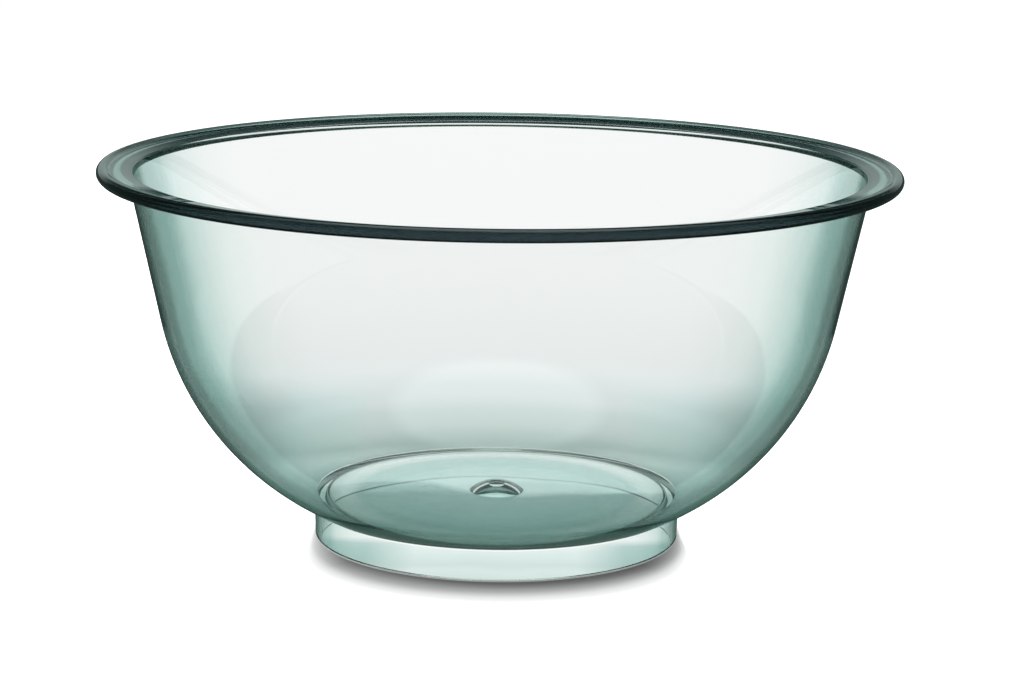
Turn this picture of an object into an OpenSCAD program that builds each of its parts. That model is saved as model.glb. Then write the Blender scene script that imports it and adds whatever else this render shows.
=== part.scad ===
// Clear mixing bowl, injection moulded in one piece, on a ring foot.
// Z is the bowl's axis, and the origin is the middle of the foot's underside.
// The moulding is divided where its form changes: each section ends on a face
// square to the wall, and the next section starts on that same face.

/* [Bowl] */
// Height from the table to the top of the lip
height = 137.5; // [125:0.5:150]
// Thickness of the heel, the belly and the foot of the straight wall
wall_t = 3; // [2.4:0.1:3.6]
// Thickness of the straight wall at its top
wall_top_t = 2.2; // [1.8:0.1:3]
// Lean of the straight wall from the vertical, in degrees
wall_lean = 12; // [8:0.5:16]
// Height at which the straight wall turns into the rounded belly
shoulder_h = 82; // [72:1:92]
// Height at which the belly gives way to the heel that turns in under the bowl
heel_h = 40; // [32:1:48]

/* [Rim] */
// Diameter over the lip
rim_d = 290; // [270:1:310]
// How far the lip stands out past the wall
rim_overhang = 11.2; // [9:0.2:15]
// Fall of the flange from the lip in to the wall, in degrees
flange_slope = 8.8; // [6:0.2:14]
// Thickness of the flange
flange_t = 2.9; // [2.2:0.1:3.2]
// Thickness of the round lip
lip_d = 4.6; // [4:0.1:6]
// How far the top of the lip stands above the flange's top face
lip_crown = 0.2; // [0.1:0.05:0.6]
// Fillets between the lip and the flange
lip_fillet_r = 5; // [2:0.5:6]
// Rounding inside the bowl where the wall turns out into the flange
corner_r = 0.6; // [0.4:0.1:1.5]
// Fillet under the flange where it meets the wall
bend_r = 0.5; // [0.4:0.1:2]

/* [Foot] */
// Diameter of the foot ring where it leaves the bowl
foot_d = 134.2; // [120:0.2:146]
// Height of the foot ring
foot_h = 11.6; // [8:0.2:15]
// Thickness of the foot ring at the table
foot_t = 3; // [2:0.1:4]
// Taper of each face of the foot ring, in degrees
foot_draft = 1.5; // [0.5:0.5:3]
// Ledge between the foot ring and the bowl's underside
foot_ledge = 0.4; // [0.2:0.1:1]
// Rounding of the two edges that stand on the table
foot_edge_r = 0.6; // [0.2:0.1:0.9]
// Fillet between the foot ring and the underside of the floor
foot_fillet_r = 1.5; // [0.5:0.1:3]

/* [Floor] */
// Thickness of the flat floor
floor_t = 3; // [2:0.1:3.6]
// Diameter of the domed gate well in the middle of the floor
dome_d = 20; // [16:1:26]
// Rise of the dome above the floor
dome_h = 4; // [3:0.2:5]
// Diameter of the gate stub under the dome
gate_d = 5; // [3:0.5:7]
// Length of the gate stub
gate_h = 1; // [0.6:0.1:1.6]

/* [Hidden] */
$fn = 180;

// Tint of the clear plastic
tint = [0.60, 0.73, 0.69];
// Overrun of the cutting shapes
over = 1;

// A section's point is [radius, height]. A direction or a normal has length 1.
up = [0, 1];
down = [0, -1];
function dot(a, b) = a[0] * b[0] + a[1] * b[1];

// The point where two lines cross, each given by its normal and its distance from the origin
function meet(n1, k1, n2, k2) =
    [k1 * n2[1] - k2 * n1[1], k2 * n1[0] - k1 * n2[0]] / (n1[0] * n2[1] - n1[1] * n2[0]);

// Lip and flange: the flange's faces lie this far above and under the middle of the lip
lip_r = lip_d / 2;
lip_c = [rim_d / 2 - lip_r, height - lip_r];
above = lip_r - lip_crown;
under = flange_t - above;
flange_in = [-cos(flange_slope), -sin(flange_slope)];
flange_down = [sin(flange_slope), -cos(flange_slope)];
flange_k = dot(lip_c, flange_down);
// How far in from the lip's middle the fillet on each face has its own middle
over_in = sqrt(pow(lip_r + lip_fillet_r, 2) - pow(above + lip_fillet_r, 2));
under_in = sqrt(pow(lip_r + lip_fillet_r, 2) - pow(under + lip_fillet_r, 2));
over_c = lip_c + over_in * flange_in - (above + lip_fillet_r) * flange_down;
under_c = lip_c + under_in * flange_in + (under + lip_fillet_r) * flange_down;
// The lip ends where the fillet underneath does
lip_seam = lip_c + under_in * flange_in;

// Straight wall: its outer face, carried up, meets the sloping line through the lip's
// middle at this point
wall_top = [rim_d / 2 - rim_overhang,
    lip_c[1] - (rim_overhang - lip_r) * tan(flange_slope)];
wall_out = [cos(wall_lean), -sin(wall_lean)];
wall_up = [sin(wall_lean), cos(wall_lean)];
wall_k = dot(wall_top, wall_out);
shoulder = [wall_top[0] - (wall_top[1] - shoulder_h) * tan(wall_lean), shoulder_h];

// The wall's inner face leans a little more, as the wall thins towards the rim
wall_thinning = atan((wall_t - wall_top_t) / norm(wall_top - shoulder));
inner_out = [cos(wall_lean + wall_thinning), -sin(wall_lean + wall_thinning)];
inner_k = dot(shoulder - wall_t * wall_out, inner_out);
rim_corner = meet(inner_out, inner_k, flange_down, flange_k - above);

// Fillet under the flange, and the face across the wall at its lower end
bend_c = meet(wall_out, wall_k + bend_r, flange_down, flange_k + under + bend_r);
wall_end = bend_c - bend_r * wall_out;
wall_end_in = meet(inner_out, inner_k, wall_up, dot(wall_end, wall_up));

// Belly and heel: one arc, tangent to the wall, that ends on the foot's ledge
foot_r = foot_d / 2;
ledge = [foot_r + foot_ledge, foot_h];
drop = ledge - shoulder;
bowl_r = dot(drop, drop) / (-2 * dot(drop, wall_out));
bowl_c = shoulder - bowl_r * wall_out;
bowl_inner_r = bowl_r - wall_t;
heel_turn = asin((bowl_c[1] - heel_h) / bowl_r);
heel_out = [cos(heel_turn), -sin(heel_turn)];

// Floor: its top meets the inside of the heel on this circle
floor_top = foot_h + floor_t;
floor_r = bowl_c[0] + sqrt(pow(bowl_inner_r, 2) - pow(bowl_c[1] - floor_top, 2));

// Foot ring: both faces taper towards the table
foot_taper = foot_h * tan(foot_draft);
foot_base_r = foot_r - foot_taper;
foot_base_in = foot_base_r - foot_t;
foot_top_in = foot_base_in - foot_taper;
foot_face_out = [cos(foot_draft), -sin(foot_draft)];
foot_face_in = [-cos(foot_draft), -sin(foot_draft)];
foot_fillet_c = meet(foot_face_in, dot([foot_top_in, foot_h], foot_face_in) + foot_fillet_r,
    up, foot_h - foot_fillet_r);

// Gate well: a spherical dome, one floor thickness all round
dome_r = dome_d / 2;
dome_ball_r = (dome_r * dome_r + dome_h * dome_h) / (2 * dome_h);
dome_c = floor_top + dome_h - dome_ball_r;
well_ball_r = dome_ball_r - floor_t;
well_top = dome_c + well_ball_r;

// The curved triangle left between a corner and a round that touches both its sides. Each
// normal points from its side away from the round.
module corner_web(corner, n1, n2, r) {
    c = meet(n1, dot(corner, n1) - r, n2, dot(corner, n2) - r);
    difference() {
        polygon([c, c + r * n1, corner, c + r * n2]);
        translate(c) circle(r);
    }
}

// A curved plate in section: everything between two arcs about one centre
module arc_plate(c, outer_r, inner_r) {
    translate(c) difference() {
        circle(outer_r);
        circle(inner_r);
    }
}

// Round lip with a fillet to each face of the flange, cut square to the flange
module rim_lip() {
    color(tint) rotate_extrude() {
        translate(lip_c) circle(lip_r);
        difference() {
            polygon([lip_c, over_c, over_c + lip_fillet_r * flange_down,
                lip_seam - above * flange_down, lip_seam + under * flange_down, under_c]);
            translate(over_c) circle(lip_fillet_r);
            translate(under_c) circle(lip_fillet_r);
        }
    }
}

// Sloping flange, mitred into the top of the wall and rounded there on both sides
module rim_flange() {
    color(tint) rotate_extrude() difference() {
        polygon([lip_seam - above * flange_down, rim_corner, wall_end_in, wall_end, bend_c,
            bend_c - bend_r * flange_down, lip_seam + under * flange_down]);
        corner_web(rim_corner, -flange_down, -inner_out, corner_r);
        translate(bend_c) circle(bend_r);
    }
}

// Straight wall, a cone that thins towards the rim
module side_wall() {
    color(tint) rotate_extrude() polygon([shoulder, wall_end, wall_end_in,
        shoulder - wall_t * wall_out]);
}

// Rounded belly, between the seams at the shoulder and at the heel
module belly() {
    reach = (bowl_r + over) * sqrt(2);
    color(tint) rotate_extrude() intersection() {
        arc_plate(bowl_c, bowl_r, bowl_inner_r);
        polygon([bowl_c, bowl_c + reach * wall_out, bowl_c + reach * heel_out]);
    }
}

// Heel, from the belly down to the ledge over the foot and in to the floor
module heel() {
    color(tint) rotate_extrude() intersection() {
        arc_plate(bowl_c, bowl_r, bowl_inner_r);
        polygon([bowl_c, bowl_c + (bowl_r + over) * heel_out, [rim_d / 2, foot_h],
            [floor_r, foot_h], [floor_r, floor_top]]);
    }
}

// Flat floor around the gate well
module floor_plate() {
    color(tint) rotate_extrude() polygon([[dome_r, foot_h], [floor_r, foot_h],
        [floor_r, floor_top], [dome_r, floor_top]]);
}

// Foot ring: tapered, rounded where it stands and filleted where it joins the floor
module foot_ring() {
    color(tint) rotate_extrude() difference() {
        polygon([[foot_base_in, 0], [foot_base_r, 0], [foot_r, foot_h],
            [foot_fillet_c[0], foot_h], foot_fillet_c,
            foot_fillet_c - foot_fillet_r * foot_face_in]);
        translate(foot_fillet_c) circle(foot_fillet_r);
        corner_web([foot_base_r, 0], foot_face_out, down, foot_edge_r);
        corner_web([foot_base_in, 0], foot_face_in, down, foot_edge_r);
    }
}

// Dome over the gate, hollow underneath
module gate_dome() {
    color(tint) rotate_extrude() intersection() {
        arc_plate([0, dome_c], dome_ball_r, well_ball_r);
        translate([0, foot_h]) square([dome_r, floor_t + dome_h + over]);
    }
}

// Stub left where the plastic entered the mould, under the middle of the dome
module gate_stub() {
    color(tint) rotate_extrude() intersection() {
        translate([0, dome_c]) circle(well_ball_r);
        translate([0, well_top - gate_h]) square([gate_d / 2, gate_h + over]);
    }
}

rim_lip();
rim_flange();
side_wall();
belly();
heel();
floor_plate();
foot_ring();
gate_dome();
gate_stub();
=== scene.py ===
import math
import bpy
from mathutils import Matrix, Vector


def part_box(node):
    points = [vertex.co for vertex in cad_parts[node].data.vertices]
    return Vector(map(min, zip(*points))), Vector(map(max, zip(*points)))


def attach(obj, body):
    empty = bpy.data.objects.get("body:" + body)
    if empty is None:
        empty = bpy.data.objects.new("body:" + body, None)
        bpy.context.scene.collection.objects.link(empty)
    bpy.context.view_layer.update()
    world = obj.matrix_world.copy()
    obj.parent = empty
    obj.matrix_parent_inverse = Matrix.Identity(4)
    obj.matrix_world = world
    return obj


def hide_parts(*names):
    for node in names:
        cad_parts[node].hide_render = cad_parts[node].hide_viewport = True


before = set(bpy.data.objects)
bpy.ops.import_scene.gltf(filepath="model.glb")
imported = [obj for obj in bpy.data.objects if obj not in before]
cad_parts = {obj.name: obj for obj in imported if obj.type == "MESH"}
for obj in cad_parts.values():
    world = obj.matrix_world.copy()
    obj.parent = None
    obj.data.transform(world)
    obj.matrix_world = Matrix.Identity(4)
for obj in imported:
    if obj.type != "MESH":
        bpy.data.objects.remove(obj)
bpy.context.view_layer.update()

from types import SimpleNamespace

import bpy
from bpy.props import FloatProperty, FloatVectorProperty, IntProperty, PointerProperty
from bpy.types import Operator, Panel, PropertyGroup
from mathutils import Vector

bl_info = {
    "name": "Clear mixing bowl",
    "version": (1, 0, 0),
    "blender": (4, 5, 0),
    "location": "View3D > Sidebar > Bowl",
    "description": "Builds a moulded clear mixing bowl and the studio it stands in",
    "category": "Object",
}

MM = 0.001

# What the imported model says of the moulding: each section's lowest and highest corner
LIP_LOW, LIP_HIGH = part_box("rim_lip")
WALL_LOW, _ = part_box("side_wall")
_, BELLY_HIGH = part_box("belly")
HEEL_LOW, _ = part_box("heel")
FLOOR_LOW, FLOOR_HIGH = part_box("floor_plate")
_, FOOT_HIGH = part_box("foot_ring")
_, DOME_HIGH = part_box("gate_dome")
STUB_LOW, STUB_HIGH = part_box("gate_stub")
SECTIONS = ("rim_lip", "rim_flange", "side_wall", "belly", "heel", "floor_plate", "foot_ring",
            "gate_dome", "gate_stub")

# Straight steps in each arc of the section
DOME_STEPS, WELL_STEPS = 14, 10
BOWL_STEPS = 44
LIP_STEPS, LIP_UNDER_STEPS = 36, 10
ROUNDING_STEPS, FOOT_EDGE_STEPS = 8, 6
# Points this close are one, and faces that turn less than this angle are shaded as one
MERGE_WITHIN = 0.002 * MM
SMOOTH_WITHIN = math.radians(16)

WHITE = (1, 1, 1)
# Colour sockets of a mix node, by number, because their names occur more than once
MIX_FIRST, MIX_SECOND, MIX_RESULT = 6, 7, 2
# A face counts as outer skin where its distance from the axis in metres, times how far its
# normal points outwards, passes from the first of these to the second
OUTER_SKIN = (0.010, 0.016)
# Radii over which the rim's painted shade runs, and over which the lip passes its crest
RIM_BAND = (131.9 * MM, 145 * MM)
LIP_CREST = (142.7 * MM, 143.0 * MM)
# Height where the heel's painted shade ends, and powers of its green that give its red and blue
HEEL_TOP = 40 * MM
HEEL_RED, HEEL_BLUE = 1.35, 1.08
# Share of the light for the table that the plastic above the ring foot lets by
CLEAR_SHADE = 0.99
# How far from the axis the table's painted light and shade run: all round, to each side, and
# inside the foot
TABLE_SPAN, FLANK_SPAN, HOLLOW = 0.8, 0.3, 64 * MM
# Painted light: the table close to the ring foot, brighter than white where plastic bends the view
# to it
PAINTED_LIGHT_NEAR_FOOT = (1.42, 1.37, 1.38)
# The studio: sides of the round table, the key lamp's place, the camera's frame in mm, and how
# often light may be bent and mirrored
TABLE_SIDES = 96
KEY_PLACE = (-0.35, 0.45, 0.9)
FRAME_WIDTH = 36
BENDS, MIRRORINGS = 32, 16


class BowlMoulding(PropertyGroup):
    """Sizes of the moulding that the boxes of its sections don't give"""

    wall_t: FloatProperty(name="Wall thickness", description="Thickness of the heel and the belly",
                          default=3 * MM, min=1 * MM, unit="LENGTH", precision=5)
    wall_top_t: FloatProperty(name="Wall top thickness", description="Thickness under the rim",
                              default=2.2 * MM, min=1 * MM, unit="LENGTH", precision=5)
    wall_lean: FloatProperty(name="Wall lean", description="Lean of the straight wall",
                             default=math.radians(12), subtype="ANGLE")
    rim_overhang: FloatProperty(name="Rim overhang", description="From the wall out to the lip",
                                default=11.2 * MM, unit="LENGTH", precision=5)
    flange_slope: FloatProperty(name="Flange slope", description="Fall of the flange to the wall",
                                default=math.radians(8.8), subtype="ANGLE")
    flange_t: FloatProperty(name="Flange thickness", description="Thickness of the rim's flange",
                            default=2.9 * MM, min=1 * MM, unit="LENGTH", precision=5)
    lip_crown: FloatProperty(name="Lip crown", description="Top of the lip above the flange",
                             default=0.2 * MM, unit="LENGTH", precision=5)
    lip_fillet_r: FloatProperty(name="Lip fillet", description="Fillets between flange and lip",
                                default=5 * MM, unit="LENGTH", precision=5)
    corner_r: FloatProperty(name="Corner radius", description="Rounding inside, wall to flange",
                            default=0.6 * MM, unit="LENGTH", precision=5)
    bend_r: FloatProperty(name="Bend radius", description="Fillet under the flange at the wall",
                          default=0.5 * MM, unit="LENGTH", precision=5)
    foot_t: FloatProperty(name="Foot thickness", description="Thickness of the foot at the table",
                          default=3 * MM, unit="LENGTH", precision=5)
    foot_draft: FloatProperty(name="Foot draft", description="Taper of each face of the foot",
                              default=math.radians(1.5), subtype="ANGLE")
    foot_ledge: FloatProperty(name="Foot ledge", description="Ledge between foot and heel",
                              default=0.4 * MM, unit="LENGTH", precision=5)
    foot_edge_r: FloatProperty(name="Foot edge radius", description="Rounding of the foot's edges",
                               default=0.6 * MM, unit="LENGTH", precision=5)
    foot_fillet_r: FloatProperty(name="Foot fillet", description="Fillet inside the foot's root",
                                 default=1.5 * MM, unit="LENGTH", precision=5)
    steps: IntProperty(name="Steps round", description="Faces round the bowl",
                       default=256, min=32, max=360)


class ClearPlastic(PropertyGroup):
    """Finish of the clear tinted plastic, and the shade painted into its colour"""

    tint: FloatVectorProperty(name="Tint", description="Colour that the plastic lets through",
                              default=(0.55, 0.78, 0.70), subtype="COLOR", size=3, min=0, max=1)
    density: FloatProperty(name="Tint density", description="Absorption per metre", default=20.0)
    # Slant and edge tints: partly the longer path through the tint, partly painted shade at the
    # edges
    slant_tint_and_shade: FloatVectorProperty(name="Slant tint", subtype="COLOR", size=3, min=0, max=1,
                                    description="Colour let through on a slant of 68 degrees",
                                    default=(0.36, 0.58, 0.53))
    edge_tint_and_shade: FloatVectorProperty(name="Edge tint", description="Colour let through edge on",
                                   default=(0.10, 0.22, 0.18), subtype="COLOR", size=3,
                                   min=0, max=1)
    # Painted shade under the floor, in the plastic's colour
    floor_painted_shade: FloatVectorProperty(name="Floor tint", subtype="COLOR", size=3, min=0, max=1,
                                    description="Colour that the floor's underside lets through",
                                    default=(0.16, 0.37, 0.335))
    # Painted shade on the rim's flange and lip, in the plastic's colour
    flange_painted_shade: FloatVectorProperty(name="Flange tint", subtype="COLOR", size=3, min=0, max=1,
                                     description="Colour that the rim's flange lets in",
                                     default=(0.006, 0.011, 0.010))
    lip_painted_shade: FloatVectorProperty(name="Lip tint", description="Colour let through the round lip",
                                  default=(0.0012, 0.0025, 0.0034), subtype="COLOR", size=3,
                                  min=0, max=1)
    ior: FloatProperty(name="IOR", description="Refractive index", default=1.49, min=1, max=2)
    roughness: FloatProperty(name="Roughness", description="Of the polished faces",
                             default=0.01, min=0, max=1)
    wave: FloatProperty(name="Waviness", description="Strength of the mould's soft waves",
                        default=0.05, min=0, max=1)
    floor_wave: FloatProperty(name="Floor waviness", description="As waviness, on the floor",
                              default=0.9, min=0, max=1)
    foot_shade: FloatProperty(name="Foot shade", description="Light that one foot face lets by",
                              default=0.45, min=0, max=1)


class Studio(PropertyGroup):
    """Camera, table, lamp and surroundings"""

    camera_back: FloatProperty(name="Camera distance", description="From the bowl's axis",
                               default=1.0651, unit="LENGTH")
    camera_up: FloatProperty(name="Camera height", description="Above the table",
                             default=0.2931, unit="LENGTH")
    camera_side: FloatProperty(name="Camera offset", description="To the right of the axis",
                               default=0.0023, unit="LENGTH")
    camera_pitch: FloatProperty(name="Camera pitch", description="Tilt down from level",
                                default=math.radians(11.879), subtype="ANGLE")
    camera_roll: FloatProperty(name="Camera roll", description="Turn about the line of sight",
                               default=math.radians(0.704), subtype="ANGLE")
    lens: FloatProperty(name="Lens", description="Focal length in mm on a 36 mm frame",
                        default=106.08)
    floor_r: FloatProperty(name="Floor radius", description="Radius of the table",
                           default=8.0, unit="LENGTH")
    floor_glow: FloatProperty(name="Floor glow", default=0.40,
                              description="Light of the table's own, to the eye")
    inner_floor: FloatVectorProperty(name="Inner floor", subtype="COLOR", size=3, min=0, max=1,
                                     description="Table seen by light turned back in the plastic",
                                     default=(0.55, 0.62, 0.60))
    # Painted shade: the table inside the ring foot, darker for light turned back in the plastic
    inner_well: FloatVectorProperty(name="Inner well", subtype="COLOR", size=3, min=0, max=1,
                                    description="As inner floor, within the ring foot",
                                    default=(0.16, 0.25, 0.22))
    deep: FloatVectorProperty(name="Deep", subtype="COLOR", size=3, min=0, max=1,
                              description="Light turned back more than once in the plastic",
                              default=(0.012, 0.03, 0.027))
    deep_far: FloatVectorProperty(name="Deep and level", subtype="COLOR", size=3, min=0, max=1,
                                  description="As deep, for light that leaves nearly level",
                                  default=(0.30, 0.41, 0.385))
    mirror_floor: FloatVectorProperty(name="Mirrored floor", subtype="COLOR", size=3, min=0,
                                      max=1, description="Table mirrored in the outer skin",
                                      default=(0.045, 0.075, 0.068))
    mirror_sky: FloatVectorProperty(name="Mirrored backdrop", subtype="COLOR", size=3, min=0,
                                    max=1, description="Backdrop mirrored in the outer skin",
                                    default=(0.42, 0.52, 0.50))
    lamp: FloatVectorProperty(name="Overhead lamp", subtype="COLOR", size=3, min=0, max=1,
                              description="Soft lamp straight overhead, seen by plastic",
                              default=(0.85, 0.92, 0.90))
    shadow_side: FloatProperty(name="Side shadow", description="Reach of the foot's shadow aside",
                               default=1.4 * MM, unit="LENGTH", precision=5)
    shadow_front: FloatProperty(name="Front shadow", unit="LENGTH", precision=5,
                                description="Reach of the foot's shadow towards the camera",
                                default=28 * MM)
    backdrop_edge: FloatProperty(name="Backdrop edge", subtype="ANGLE",
                                 description="How high the bright backdrop reaches",
                                 default=math.radians(14.41))
    ceiling: FloatVectorProperty(name="Ceiling", description="Colour of the dim upper room",
                                 default=(0.012, 0.022, 0.03), subtype="COLOR", size=3,
                                 min=0, max=1)
    ambient: FloatProperty(name="Ambient", description="Level of the room on matt things",
                           default=0.60)
    key_power: FloatProperty(name="Key power", description="Watts of the key lamp", default=14.0)
    key_size: FloatProperty(name="Key size", description="Side of the key lamp",
                            default=0.5, unit="LENGTH")


def deselect_all():
    for other in bpy.context.selected_objects:
        other.select_set(False)


def arc(centre, radius, start, end, steps):
    """Points [radius, height] on an arc, from one direction to another, in radians"""
    return [centre + radius * Vector((math.cos(start + (end - start) * i / steps),
                                      math.sin(start + (end - start) * i / steps)))
            for i in range(steps + 1)]


def meet(n1, k1, n2, k2):
    """The point where two lines cross, each given by its normal and its distance"""
    det = n1.x * n2.y - n1.y * n2.x
    return Vector(((k1 * n2.y - k2 * n1.y) / det, (k2 * n1.x - k1 * n2.x) / det))


def moulding_section(m):
    """The bowl's whole section, from the axis over the inside to the rim and back underneath"""
    lean, slope, draft = m.wall_lean, m.flange_slope, m.foot_draft
    down = Vector((0, -1))
    wall_out = Vector((math.cos(lean), -math.sin(lean)))
    flange_down = Vector((math.sin(slope), -math.cos(slope)))
    # Gate dome and floor
    rise, dome_r = DOME_HIGH.z - FLOOR_HIGH.z, DOME_HIGH.x
    ball_r = (dome_r ** 2 + rise ** 2) / (2 * rise)
    ball_c = Vector((0, DOME_HIGH.z - ball_r))
    well_r = ball_r - (FLOOR_HIGH.z - FLOOR_LOW.z)
    points = arc(ball_c, ball_r, math.pi / 2, math.acos(dome_r / ball_r), DOME_STEPS)
    # Inside of the heel and the belly, one arc about one centre
    shoulder = Vector((BELLY_HIGH.x, WALL_LOW.z))
    ledge = Vector((FOOT_HIGH.x + m.foot_ledge, HEEL_LOW.z))
    drop = ledge - shoulder
    bowl_r = drop.length_squared / (-2 * drop.dot(wall_out))
    bowl_c = shoulder - bowl_r * wall_out
    inner_r = bowl_r - m.wall_t
    crease = math.asin((FLOOR_HIGH.z - bowl_c.y) / inner_r)
    points += arc(bowl_c, inner_r, crease, -lean, BOWL_STEPS)
    # Straight wall, thinner at its top, and the corner into the flange
    lip_r = (LIP_HIGH.z - LIP_LOW.z) / 2
    lip_c = Vector((LIP_HIGH.x - lip_r, LIP_HIGH.z - lip_r))
    wall_top = Vector((LIP_HIGH.x - m.rim_overhang,
                       lip_c.y - (m.rim_overhang - lip_r) * math.tan(slope)))
    leaned = lean + math.atan((m.wall_t - m.wall_top_t) / (wall_top - shoulder).length)
    inner_out = Vector((math.cos(leaned), -math.sin(leaned)))
    wall_k, inner_k = shoulder.dot(wall_out), points[-1].dot(inner_out)
    above = lip_r - m.lip_crown
    under, flange_k = m.flange_t - above, lip_c.dot(flange_down)
    corner = meet(inner_out, inner_k + m.corner_r, flange_down, flange_k - above + m.corner_r)
    points += arc(corner, m.corner_r, math.pi - leaned, math.pi / 2 + slope, ROUNDING_STEPS)
    # Flange and lip, with a fillet on each side of the lip
    web = m.lip_fillet_r
    inward = Vector((-math.cos(slope), -math.sin(slope)))
    high, low = (math.asin((face + web) / (lip_r + web)) for face in (above, under))
    root = lip_c + (lip_r + web) * math.cos(high) * inward - (above + web) * flange_down
    points += arc(root, web, slope - math.pi / 2, slope - high, ROUNDING_STEPS)
    points += arc(lip_c, lip_r, math.pi + slope - high, slope - math.pi + low, LIP_STEPS)
    root = lip_c + (lip_r + web) * math.cos(low) * inward + (under + web) * flange_down
    points += arc(root, web, slope + low, slope + math.pi / 2, LIP_UNDER_STEPS)
    bend_c = meet(wall_out, wall_k + m.bend_r, flange_down, flange_k + under + m.bend_r)
    points += arc(bend_c, m.bend_r, math.pi / 2 + slope, math.pi - lean, ROUNDING_STEPS)
    # Outside of the belly and the heel
    points += arc(bowl_c, bowl_r, -lean, math.asin((ledge.y - bowl_c.y) / bowl_r),
                  BOWL_STEPS)
    # Foot ring, down outside and up inside
    foot_h = FOOT_HIGH.z
    base_r = FOOT_HIGH.x - foot_h * math.tan(draft)
    base_in = base_r - m.foot_t
    face_out = Vector((math.cos(draft), -math.sin(draft)))
    face_in = Vector((-math.cos(draft), -math.sin(draft)))
    edge = m.foot_edge_r
    points.append(Vector((FOOT_HIGH.x, foot_h)))
    edge_out = meet(face_out, base_r * face_out.x - edge, down, -edge)
    points += arc(edge_out, edge, -draft, -math.pi / 2, FOOT_EDGE_STEPS)
    edge_in = meet(face_in, base_in * face_in.x - edge, down, -edge)
    points += arc(edge_in, edge, -math.pi / 2, draft - math.pi, FOOT_EDGE_STEPS)
    root = meet(face_in, base_in * face_in.x + m.foot_fillet_r, -down, foot_h - m.foot_fillet_r)
    points += arc(root, m.foot_fillet_r, draft, math.pi / 2, ROUNDING_STEPS)
    # Underside of the floor, the well under the dome and the gate's stub
    points += arc(ball_c, well_r, math.asin((FLOOR_LOW.z - ball_c.y) / well_r),
                  math.acos(STUB_HIGH.x / well_r), WELL_STEPS)
    points.append(Vector((STUB_HIGH.x, STUB_LOW.z)))
    points.append(Vector((0, STUB_LOW.z)))
    return points


def draw_section(name, points):
    """Draws a section in the XZ plane, one extruded point after another"""
    deselect_all()
    bpy.ops.mesh.primitive_plane_add(size=MM, location=(points[0].x, 0, points[0].y))
    piece = bpy.context.active_object
    piece.name = piece.data.name = name
    bpy.ops.object.transform_apply(location=True, rotation=False, scale=False)
    bpy.ops.object.mode_set(mode="EDIT")
    bpy.ops.mesh.select_all(action="SELECT")
    bpy.ops.mesh.merge(type="CENTER")
    for a, b in zip(points, points[1:]):
        step = (b.x - a.x, 0, b.y - a.y)
        bpy.ops.mesh.extrude_region_move(TRANSFORM_OT_translate={"value": step})
    return piece


def turn_section(steps):
    """Turns the drawn section once about the Z axis and closes it into a solid skin"""
    bpy.ops.mesh.select_all(action="SELECT")
    bpy.ops.mesh.spin(steps=steps, angle=2 * math.pi, center=(0, 0, 0), axis=(0, 0, 1))
    bpy.ops.mesh.select_all(action="SELECT")
    bpy.ops.mesh.remove_doubles(threshold=MERGE_WITHIN)
    bpy.ops.mesh.normals_make_consistent(inside=False)
    bpy.ops.object.mode_set(mode="OBJECT")


def feed(socket, value):
    """Gives an input a number or a colour, or links another node's output to it"""
    if isinstance(value, bpy.types.NodeSocket):
        socket.id_data.links.new(value, socket)
    elif socket.type == "RGBA":
        socket.default_value = (*value, 1)
    else:
        socket.default_value = value


def node(tree, kind, place, **values):
    """Adds a shader node and sets its properties and inputs by name"""
    made = tree.nodes.new(kind)
    made.location = place
    for key, value in values.items():
        if hasattr(made, key):
            setattr(made, key, value)
        else:
            feed(made.inputs[key.replace("_", " ")], value)
    return made


def compute(tree, operation, place, *values, kind="ShaderNodeMath", output="Value"):
    """Adds a math node on these values and gives its output"""
    made = node(tree, kind, place, operation=operation)
    for socket, value in zip(made.inputs, values):
        feed(socket, value)
    return made.outputs[output]


def span(tree, place, value, low, high, to_low=0.0, to_high=1.0, **settings):
    """Adds a map range node, from low and high to to_low and to_high, and gives its output"""
    return node(tree, "ShaderNodeMapRange", place, Value=value, From_Min=low, From_Max=high,
                To_Min=to_low, To_Max=to_high, **settings).outputs["Result"]


def ramp(tree, place, share, stops, start=0.0, end=1.0):
    """Adds a colour ramp and gives its output

    The stops are in the measure that share is a share of, from start to end.
    """
    made = node(tree, "ShaderNodeValToRGB", place, Fac=share)
    elements = made.color_ramp.elements
    stops = [((at - start) / (end - start), (*colour, 1)) for at, colour in stops]
    elements[0].position, elements[0].color = stops[0]
    elements[1].position, elements[1].color = stops[-1]
    for position, colour in stops[1:-1]:
        elements.new(position).color = colour
    return made.outputs["Color"]


def blend(tree, place, factor, first, second, how="MIX"):
    """Adds a colour mix node and gives its output"""
    made = node(tree, "ShaderNodeMix", place, data_type="RGBA", blend_type=how, Factor=factor)
    feed(made.inputs[MIX_FIRST], first)
    feed(made.inputs[MIX_SECOND], second)
    return made.outputs[MIX_RESULT]


def join_shaders(tree, kind, place, first, second, **values):
    """Adds a node that takes two shaders as its last inputs"""
    made = node(tree, kind, place, **values)
    feed(made.inputs[-2], first.outputs[0])
    feed(made.inputs[-1], second.outputs[0])
    return made


def fresh_material(name):
    material = bpy.data.materials.new(name)
    material.use_nodes = True
    material.node_tree.nodes.clear()
    return material, material.node_tree


def grey(level):
    return (level, level, level)


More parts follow.
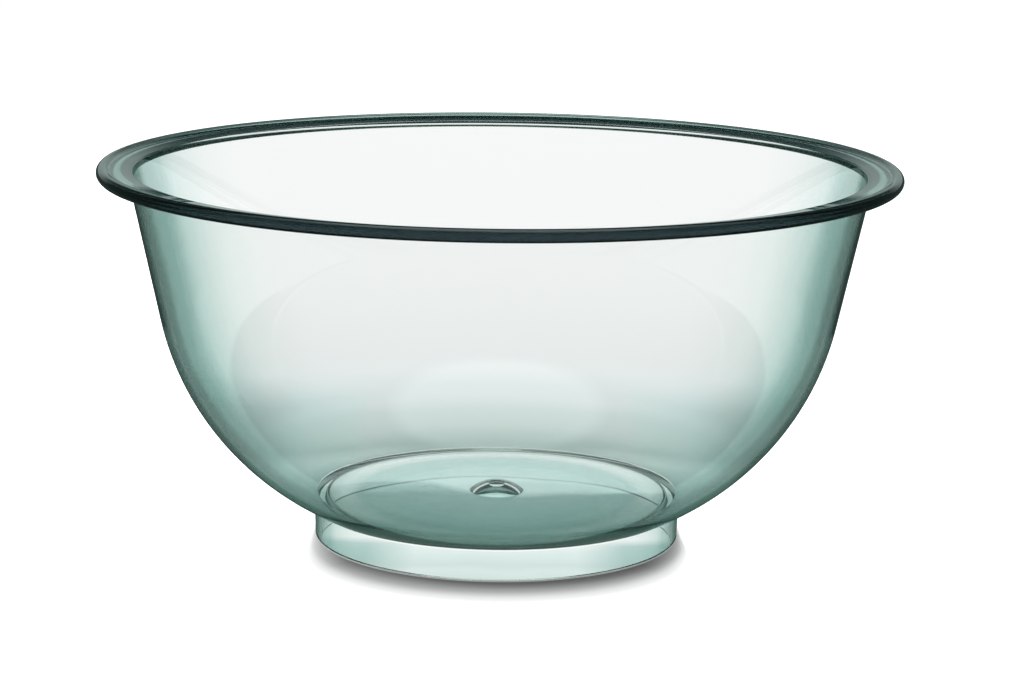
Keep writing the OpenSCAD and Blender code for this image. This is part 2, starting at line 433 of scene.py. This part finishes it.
def mould_waves():
    """Node group: the soft waves and fine flow marks that a polished mould leaves"""
    group = bpy.data.node_groups.new("Mould waves", "ShaderNodeTree")
    for name, default in (("Strength", 0.1), ("Scale", 16.0)):
        socket = group.interface.new_socket(name, in_out="INPUT", socket_type="NodeSocketFloat")
        socket.default_value = default
    group.interface.new_socket("Normal", in_out="OUTPUT", socket_type="NodeSocketVector")
    start = node(group, "NodeGroupInput", (-900, 0)).outputs
    place = node(group, "ShaderNodeTexCoord", (-900, -200)).outputs["Object"]
    stretch = node(group, "ShaderNodeMapping", (-700, -200), Vector=place, Scale=(1.0, 1.0, 0.45))
    noise = node(group, "ShaderNodeTexNoise", (-500, -100), Vector=stretch.outputs["Vector"],
                 Scale=start["Scale"], Detail=1.0, Roughness=0.4)
    bump = node(group, "ShaderNodeBump", (-250, 0), Strength=start["Strength"],
                Distance=0.4 * MM, Height=noise.outputs["Fac"])
    node(group, "NodeGroupOutput", (0, 0), Normal=bump.outputs["Normal"])
    return group


def surface_measures(tree):
    """What the plastic's tint goes by: where a point lies, and which way it faces"""
    place = node(tree, "ShaderNodeTexCoord", (-1900, 0)).outputs
    level = compute(tree, "MULTIPLY", (-1700, 0), place["Object"], (1, 1, 0),
                    kind="ShaderNodeVectorMath", output="Vector")
    return SimpleNamespace(
        height=node(tree, "ShaderNodeSeparateXYZ", (-1700, -400),
                    Vector=place["Object"]).outputs["Z"],
        radius=compute(tree, "LENGTH", (-1500, -600), level, kind="ShaderNodeVectorMath"),
        outward=compute(tree, "DOT_PRODUCT", (-1500, 0), level, place["Normal"],
                        kind="ShaderNodeVectorMath"),
        upward=node(tree, "ShaderNodeSeparateXYZ", (-1700, -1150),
                    Vector=place["Normal"]).outputs["Z"],
        slant=node(tree, "ShaderNodeLayerWeight", (-1300, 300), Blend=0.5).outputs["Facing"],
        leaving=node(tree, "ShaderNodeNewGeometry", (-1700, -850)).outputs["Backfacing"])


def slant_tint_and_shade(tree, p, at):
    """Darker and greener the more the view runs along the surface: partly the longer path through
    the tint, partly painted shade at the edges

    Only on the outer skin and the upper wall: the heel's inside and the floor stay clear.
    """
    outer = span(tree, (-1300, 0), at.outward, *OUTER_SKIN)
    upper = span(tree, (-1300, -250), at.height, 16 * MM, 48 * MM)
    where = compute(tree, "MAXIMUM", (-1100, 0), outer, upper)
    colour = ramp(tree, (-1100, 300), at.slant, (
        (0.0, WHITE), (0.25, WHITE), (0.40, (0.90, 0.96, 0.94)), (0.56, (0.62, 0.80, 0.76)),
        (0.63, p.slant_tint_and_shade), (0.77, p.slant_tint_and_shade), (0.83, p.edge_tint_and_shade), (1.0, p.edge_tint_and_shade)))
    return blend(tree, (-800, 250), where, WHITE, colour)


def heel_painted_shade(tree, at):
    """Painted shade on the heel: the lower, the darker, where light crosses its outer face either
    way
    """
    # The normal turns round for light that leaves, so the sign is turned back
    sign = span(tree, (-1500, -850), at.leaving, 0, 1, 1, -1)
    outside = compute(tree, "MULTIPLY", (-1300, -850), at.outward, sign)
    on_heel = span(tree, (-1100, -850), outside, *OUTER_SKIN)
    low_down = span(tree, (-1300, -1050), at.height, 0, HEEL_TOP)
    colour = ramp(tree, (-1100, -1050), low_down, [
        (z * MM, (green ** HEEL_RED, green, green ** HEEL_BLUE)) for z, green in (
            (0, 1), (11.5, 1), (11.7, 0.19), (12.6, 0.24), (14.2, 0.34), (16.2, 0.42), (19, 0.57),
            (22, 0.65), (25, 0.71), (28.5, 0.83), (32, 0.86), (35, 0.94), (38.5, 1), (40, 1))],
        0, HEEL_TOP)
    return blend(tree, (-800, -850), on_heel, WHITE, colour)


def floor_painted_shade(tree, p, at):
    """Painted shade on the floor's underside, darker towards the middle, for light on its way down
    """
    # From inside the plastic, normals point inwards: up, on the underside
    underside = span(tree, (-1300, -1750), at.upward, 0.3, 0.5)
    leaving = compute(tree, "MULTIPLY", (-1100, -1750), underside, at.leaving)
    within = span(tree, (-1300, -1950), at.radius, FLOOR_HIGH.x - 0.5 * MM,
                  FLOOR_HIGH.x - 1 * MM)
    low = compute(tree, "COMPARE", (-1300, -2150), at.height, FLOOR_LOW.z + 2 * MM, 2.2 * MM)
    beneath = compute(tree, "MULTIPLY", (-1100, -2050), low, within)
    on_floor = compute(tree, "MULTIPLY", (-1000, -1850), leaving, beneath)
    reach = span(tree, (-1300, -1600), at.radius, 0, FLOOR_HIGH.x)
    floor_shade = ramp(tree, (-1100, -1600), reach, (
        (0.0, p.floor_painted_shade), (0.62, p.floor_painted_shade), (0.76, (0.24, 0.45, 0.42)),
        (0.86, (0.74, 0.90, 0.86)), (1.0, (0.93, 1, 0.98))))
    return blend(tree, (-800, -1750), on_floor, WHITE, floor_shade)


def rim_painted_shade(tree, p, at):
    """Painted shade on the rim for light that enters it: dark on the flange's top and past the
    lip's crest, with a lighter painted band on the flange
    """
    level_top = span(tree, (-1500, -1150), at.upward, 0.5, 0.9)
    aslant = span(tree, (-1500, -1550), at.slant, 0.35, 0.6)
    flange = compute(tree, "MULTIPLY", (-1300, -1250), level_top, aslant)
    past_crest = span(tree, (-1500, -1350), at.radius, *LIP_CREST)
    which = compute(tree, "MAXIMUM", (-1200, -1250), flange, past_crest)
    out = span(tree, (-1300, -600), at.radius, *RIM_BAND)
    across = compute(tree, "MULTIPLY", (-1200, -700), out, which)
    colour = ramp(tree, (-1100, -600), across, [(r * MM, colour) for r, colour in (
        (131.9, WHITE), (132.1, (0.10, 0.16, 0.15)), (132.6, p.flange_painted_shade),
        (136.0, p.flange_painted_shade), (137.0, (0.50, 0.61, 0.58)), (139.9, (0.64, 0.74, 0.70)),
        (140.6, (0.03, 0.045, 0.042)), (143.0, (0.012, 0.022, 0.020)),
        (143.95, (0.005, 0.009, 0.010)), (144.4, p.lip_painted_shade), (145.0, p.lip_painted_shade))], *RIM_BAND)
    return blend(tree, (-800, -600), at.leaving, colour, WHITE)


def clear_plastic(p):
    """Clear tinted plastic: polished, with the mould's soft waves, and shade painted into its
    colour place by place
    """
    material, tree = fresh_material("clear_tinted_plastic")
    at = surface_measures(tree)
    # Base colour: the tint with painted shade from the slant, the heel, the floor and the rim
    tint = slant_tint_and_shade(tree, p, at)
    for i, other in enumerate((heel_painted_shade(tree, at), floor_painted_shade(tree, p, at),
                               rim_painted_shade(tree, p, at))):
        tint = blend(tree, (-600 + 150 * i, 150 - 200 * i), 1, tint, other, "MULTIPLY")
    # The floor's top is wavier than the rest
    upper_face = compute(tree, "COMPARE", (-1300, -2350), at.height, FLOOR_HIGH.z, 0.2 * MM)
    strength = span(tree, (-900, -2350), upper_face, 0, 1, p.wave, p.floor_wave)
    waves = node(tree, "ShaderNodeGroup", (-500, -400), node_tree=mould_waves(),
                 Strength=strength)
    plastic = node(tree, "ShaderNodeBsdfPrincipled", (-100, 100), Base_Color=tint,
                   Normal=waves.outputs["Normal"], Roughness=p.roughness, IOR=p.ior,
                   Transmission_Weight=1.0)
    # Light for the table passes straight through, and the ring foot holds some of it back
    let_by = span(tree, (-700, -600), at.height, FOOT_HIGH.z - 1 * MM, FOOT_HIGH.z,
                  p.foot_shade, CLEAR_SHADE)
    shade = node(tree, "ShaderNodeBsdfTransparent", (-200, -600), Color=let_by)
    path = node(tree, "ShaderNodeLightPath", (-500, 500)).outputs
    passing = compute(tree, "MAXIMUM", (-200, 400), path["Is Shadow Ray"], path["Is Diffuse Ray"])
    surface = join_shaders(tree, "ShaderNodeMixShader", (200, 100), plastic, shade, Fac=passing)
    inside = node(tree, "ShaderNodeVolumeAbsorption", (200, -200), Color=p.tint,
                  Density=p.density)
    node(tree, "ShaderNodeOutputMaterial", (450, 0), Surface=surface.outputs["Shader"],
         Volume=inside.outputs["Volume"])
    return material


class BOWL_OT_shell(Operator):
    """Builds the one clear moulding, from the gate dome to the lip and the foot"""

    bl_idname = "bowl.shell"
    bl_label = "Bowl shell"

    def execute(self, context):
        moulding = context.scene.bowl_moulding
        piece = draw_section("bowl_shell", moulding_section(moulding))
        turn_section(moulding.steps)
        bpy.ops.object.shade_smooth_by_angle(angle=SMOOTH_WITHIN)
        bpy.ops.object.modifier_add(type="WEIGHTED_NORMAL")
        piece.modifiers[-1].keep_sharp = True
        bpy.ops.object.modifier_apply(modifier=piece.modifiers[-1].name)
        piece.data.materials.append(clear_plastic(context.scene.bowl_plastic))
        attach(piece, "root")
        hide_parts(*SECTIONS)
        return {"FINISHED"}


def by_path(tree, through, inside, mirrored, deep):
    """Chooses a colour by how light came: only bent, turned back inside the plastic, or mirrored

    Each is a colour or a socket, and deep is for light that was turned back more than once.
    """
    path = node(tree, "ShaderNodeLightPath", (-1100, 500)).outputs
    turned = compute(tree, "GREATER_THAN", (-850, 500), path["Glossy Depth"], 0.5)
    often = compute(tree, "GREATER_THAN", (-850, 350), path["Glossy Depth"], 1.5)
    guided = blend(tree, (-650, -250), often, inside, deep)
    late = blend(tree, (-450, -150), path["Is Reflection Ray"], guided, mirrored)
    return blend(tree, (-250, 0), turned, through, late), path


def painted_light_around_foot(tree, at):
    """Painted light and shade on the table outside the ring foot, seen through plastic: a painted
    pool of light close by, painted shade aside
    """
    around = ramp(tree, (-1100, 0), at.far, (
        (0.0, (0.95, 0.99, 0.97)), (0.062, (0.95, 0.99, 0.97)), (0.068, PAINTED_LIGHT_NEAR_FOOT),
        (0.105, PAINTED_LIGHT_NEAR_FOOT), (0.122, (0.88, 0.93, 0.91)), (0.18, (0.88, 0.93, 0.92)),
        (0.22, (0.93, 0.97, 0.97)), (0.302, (0.97, 0.98, 0.98)), (0.45, (1, 1, 0.99)),
        (0.6, WHITE)), 0, TABLE_SPAN)
    # Painted shade on the table to each side of the bowl
    wide = compute(tree, "DIVIDE", (-1400, -50), at.aside, FLANK_SPAN)
    flank = ramp(tree, (-1300, -50), wide, (
        (0.0, WHITE), (0.056, WHITE), (0.064, (0.94, 1.0, 0.99)), (0.078, (0.90, 0.965, 0.97)),
        (0.086, (0.86, 0.945, 0.955)), (0.096, (0.78, 0.85, 0.86)), (0.105, (0.73, 0.77, 0.77)),
        (0.113, (0.71, 0.75, 0.75)), (0.140, (0.84, 0.87, 0.87)), (0.180, (0.93, 0.95, 0.95)),
        (0.3, WHITE)), 0, FLANK_SPAN)
    close = span(tree, (-1200, 100), at.spread, 0.26, 0.20)
    return blend(tree, (-1000, -50), close, around, flank, "MULTIPLY")


def painted_shade_in_foot(tree, at):
    """Painted light and shade on the table inside the ring foot, seen through plastic: dimmer in
    front and at its sides, brighter than white behind
    """
    ripple = node(tree, "ShaderNodeTexNoise", (-1900, -250), Vector=at.place, Scale=36.0,
                  Detail=1.0)
    wander = span(tree, (-1700, -250), ripple.outputs["Fac"], 0, 1, -8 * MM, 8 * MM)
    drift = compute(tree, "ADD", (-1600, -350), at.y, wander)
    across = span(tree, (-1500, -250), drift, -HOLLOW, HOLLOW)
    hollow = ramp(tree, (-1300, -250), across, (
        (-HOLLOW, (0.70, 0.82, 0.79)), (-0.052, (0.76, 0.87, 0.84)), (-0.045, (0.70, 0.82, 0.79)),
        (-0.031, (0.77, 0.89, 0.86)), (-0.022, (0.82, 0.93, 0.90)), (-0.012, (0.96, 1.0, 0.98)),
        (0.034, (0.96, 1.0, 0.98)), (0.042, PAINTED_LIGHT_NEAR_FOOT), (HOLLOW, PAINTED_LIGHT_NEAR_FOOT)),
        -HOLLOW, HOLLOW)
    # Painted shade at the front corners of the table inside the foot
    edgeward = span(tree, (-1300, -1100), at.aside, 0.029, 0.046)
    forward = span(tree, (-1300, -1300), at.y, -0.004, -0.014)
    corner = compute(tree, "MULTIPLY", (-1100, -1200), edgeward, forward)
    return blend(tree, (-900, -1100), corner, hollow, (0.60, 0.72, 0.71), "MULTIPLY")


def painted_deep_table(tree, s, at):
    """Painted light and shade on the table for light turned back often: light under the gate dome
    and behind the ring, dark elsewhere
    """
    near = ramp(tree, (-1100, 300), at.far, (
        (0.0, (0.95, 1.0, 0.98)), (0.016, (0.95, 1.0, 0.98)), (0.020, s.deep), (0.062, s.deep),
        (0.065, (0.60, 0.75, 0.71)), (0.100, (0.60, 0.75, 0.71)), (0.125, s.deep),
        (0.60, s.deep), (0.78, s.deep_far), (0.8, s.deep_far)), 0, TABLE_SPAN)
    aft = span(tree, (-1300, 450), at.y, -0.030, -0.020)
    return blend(tree, (-900, 200), aft, s.deep, near)


def foot_shadow(tree, s, at):
    """Painted shadow of the foot: short and faint at the sides, longer towards the camera"""
    front = compute(tree, "DIVIDE", (-1500, -500), at.y, at.spread)
    reach = span(tree, (-1300, -500), front, 0.0, -1.1, s.shadow_side, s.shadow_front,
                 interpolation_type="SMOOTHSTEP")
    past = compute(tree, "SUBTRACT", (-1500, -700), at.spread, FOOT_HIGH.x - 0.6 * MM)
    share = compute(tree, "DIVIDE", (-1100, -600), past, reach)
    shadow = ramp(tree, (-900, -600), share, [(part, grey(level)) for part, level in (
        (0.0, 0.36), (0.03, 0.36), (0.05, 0.11), (0.12, 0.117), (0.28, 0.154), (0.48, 0.24),
        (0.58, 0.32), (0.72, 0.44), (0.86, 0.52), (0.95, 0.60), (1.0, 1.0))])
    faint = span(tree, (-1100, -800), front, -0.65, 0.1, 0, 0.45)
    return blend(tree, (-600, -650), faint, shadow, WHITE)


def table_material(s):
    """White table: plain to the eye but for the foot's painted shadow, with painted light and
    shade near the bowl where plastic bends the view
    """
    material, tree = fresh_material("studio_table")
    place = node(tree, "ShaderNodeTexCoord", (-2100, 0)).outputs["Object"]
    axes = node(tree, "ShaderNodeSeparateXYZ", (-1900, -500), Vector=place).outputs
    spread = compute(tree, "LENGTH", (-1900, 0), place, kind="ShaderNodeVectorMath")
    at = SimpleNamespace(place=place, y=axes["Y"], spread=spread,
                         aside=compute(tree, "ABSOLUTE", (-1500, -50), axes["X"]),
                         far=compute(tree, "DIVIDE", (-1300, 0), spread, TABLE_SPAN))
    outside = compute(tree, "GREATER_THAN", (-1300, 150), spread, FOOT_HIGH.x - 2.5 * MM)
    bent = blend(tree, (-800, -50), outside, painted_shade_in_foot(tree, at), painted_light_around_foot(tree, at))
    # Painted shade inside the ring foot for light turned back in the plastic
    back = blend(tree, (-800, -250), outside, s.inner_well, s.inner_floor)
    seen, path = by_path(tree, bent, back, s.mirror_floor, painted_deep_table(tree, s, at))
    shown = node(tree, "ShaderNodeEmission", (0, 0), Color=seen)
    shadow = foot_shadow(tree, s, at)
    glow = node(tree, "ShaderNodeEmission", (-300, -400), Color=shadow, Strength=s.floor_glow)
    matt = node(tree, "ShaderNodeBsdfDiffuse", (-300, -550), Color=shadow)
    table = join_shaders(tree, "ShaderNodeAddShader", (-100, -450), glow, matt)
    surface = join_shaders(tree, "ShaderNodeMixShader", (200, 0), table, shown,
                           Fac=path["Is Glossy Ray"])
    node(tree, "ShaderNodeOutputMaterial", (400, 0), Surface=surface.outputs["Shader"])
    return material


def room(s):
    """The room: white to the eye, a bright backdrop low down and a dim ceiling to plastic"""
    world = bpy.data.worlds.new("studio_room")
    bpy.context.scene.world = world
    world.use_nodes = True
    tree = world.node_tree
    tree.nodes.clear()
    place = node(tree, "ShaderNodeTexCoord", (-1900, 0)).outputs["Generated"]
    way = node(tree, "ShaderNodeSeparateXYZ", (-1700, 0), Vector=place).outputs
    straight = ramp(tree, (-1300, 200), way["Z"], (
        (0.0, WHITE), (0.12, (0.9, 0.95, 0.94)), (0.25, s.lamp), (1.0, s.lamp)))
    # The backdrop ends on a sharp line behind the bowl and fades out before it
    edge = math.sin(s.backdrop_edge)
    behind = ramp(tree, (-1300, -50), way["Z"], (
        (0.0, WHITE), (edge - 0.001, WHITE), (edge + 0.001, s.ceiling), (1.0, s.ceiling)))
    before = ramp(tree, (-1300, -300), way["Z"], (
        (0.0, s.inner_floor), (0.30, s.inner_floor), (0.7, s.ceiling), (1.0, s.ceiling)))
    depth = span(tree, (-1300, -550), way["Y"], -0.15, 0.15)
    inside = blend(tree, (-1000, -100), depth, before, behind)
    # The outer skin mirrors the backdrop only straight behind the bowl
    mirrored = ramp(tree, (-1300, -800), way["Z"], (
        (0.0, s.mirror_floor), (0.03, s.mirror_floor), (0.06, s.mirror_sky),
        (edge - 0.05, s.mirror_sky), (edge + 0.05, s.ceiling), (1.0, s.ceiling)))
    ahead = span(tree, (-1300, -1050), way["Y"], 0.80, 0.93)
    glint = blend(tree, (-1000, -800), ahead, s.mirror_floor, mirrored)
    level = ramp(tree, (-1300, -1300), way["Z"], (
        (0.0, s.deep_far), (0.18, s.deep_far), (0.24, s.deep), (1.0, s.deep)))
    seen, path = by_path(tree, straight, inside, glint, level)
    # A soft lamp straight overhead
    top = span(tree, (-250, -300), way["Z"], 0.88, 0.92)
    lit = blend(tree, (-100, -100), top, seen, s.lamp)
    plain = blend(tree, (-250, 250), path["Is Camera Ray"], grey(s.ambient), WHITE)
    colour = blend(tree, (50, 100), path["Is Glossy Ray"], plain, lit)
    light = node(tree, "ShaderNodeBackground", (250, 0), Color=colour)
    node(tree, "ShaderNodeOutputWorld", (450, 0), Surface=light.outputs["Background"])


class BOWL_OT_studio(Operator):
    """Sets up the white table, the lamp, the room and the camera"""

    bl_idname = "bowl.studio"
    bl_label = "Studio"

    def execute(self, context):
        s = context.scene.bowl_studio
        deselect_all()
        bpy.ops.mesh.primitive_circle_add(vertices=TABLE_SIDES, radius=s.floor_r,
                                          fill_type="NGON")
        table = context.active_object
        table.name = "studio_table"
        table.data.materials.append(table_material(s))
        room(s)
        deselect_all()
        bpy.ops.object.light_add(type="AREA", location=KEY_PLACE)
        key = context.active_object
        key.name = "key_lamp"
        key.data.energy = s.key_power
        key.data.size = s.key_size
        key.rotation_euler = (-key.location).to_track_quat("-Z", "Y").to_euler()
        key.visible_glossy = key.visible_transmission = False
        bpy.ops.object.camera_add(location=(s.camera_side, -s.camera_back, s.camera_up),
                                  rotation=(math.pi / 2 - s.camera_pitch, 0, 0))
        camera = context.active_object
        camera.rotation_euler.rotate_axis("Z", s.camera_roll)
        camera.data.lens = s.lens
        camera.data.sensor_width = FRAME_WIDTH
        context.scene.camera = camera
        context.scene.view_settings.view_transform = "Standard"
        context.scene.cycles.max_bounces = BENDS
        context.scene.cycles.transmission_bounces = BENDS
        context.scene.cycles.glossy_bounces = MIRRORINGS
        return {"FINISHED"}


class BOWL_PT_sidebar(Panel):
    """Lists the bowl's sizes, its finish and the studio"""

    bl_idname = "BOWL_PT_sidebar"
    bl_label = "Clear mixing bowl"
    bl_space_type = "VIEW_3D"
    bl_region_type = "UI"
    bl_category = "Bowl"

    def draw(self, context):
        layout = self.layout
        for group in (context.scene.bowl_moulding, context.scene.bowl_plastic,
                      context.scene.bowl_studio):
            for name in group.bl_rna.properties.keys():
                if name not in ("rna_type", "name"):
                    layout.prop(group, name)
        for operator in (BOWL_OT_shell, BOWL_OT_studio):
            layout.operator(operator.bl_idname)


CLASSES = (BowlMoulding, ClearPlastic, Studio, BOWL_OT_shell, BOWL_OT_studio, BOWL_PT_sidebar)


def register():
    for cls in CLASSES:
        bpy.utils.register_class(cls)
    bpy.types.Scene.bowl_moulding = PointerProperty(type=BowlMoulding)
    bpy.types.Scene.bowl_plastic = PointerProperty(type=ClearPlastic)
    bpy.types.Scene.bowl_studio = PointerProperty(type=Studio)


def unregister():
    del bpy.types.Scene.bowl_studio
    del bpy.types.Scene.bowl_plastic
    del bpy.types.Scene.bowl_moulding
    for cls in reversed(CLASSES):
        bpy.utils.unregister_class(cls)


def main():
    register()
    bpy.ops.bowl.shell()
    bpy.ops.bowl.studio()


if __name__ == "__main__":
    main()
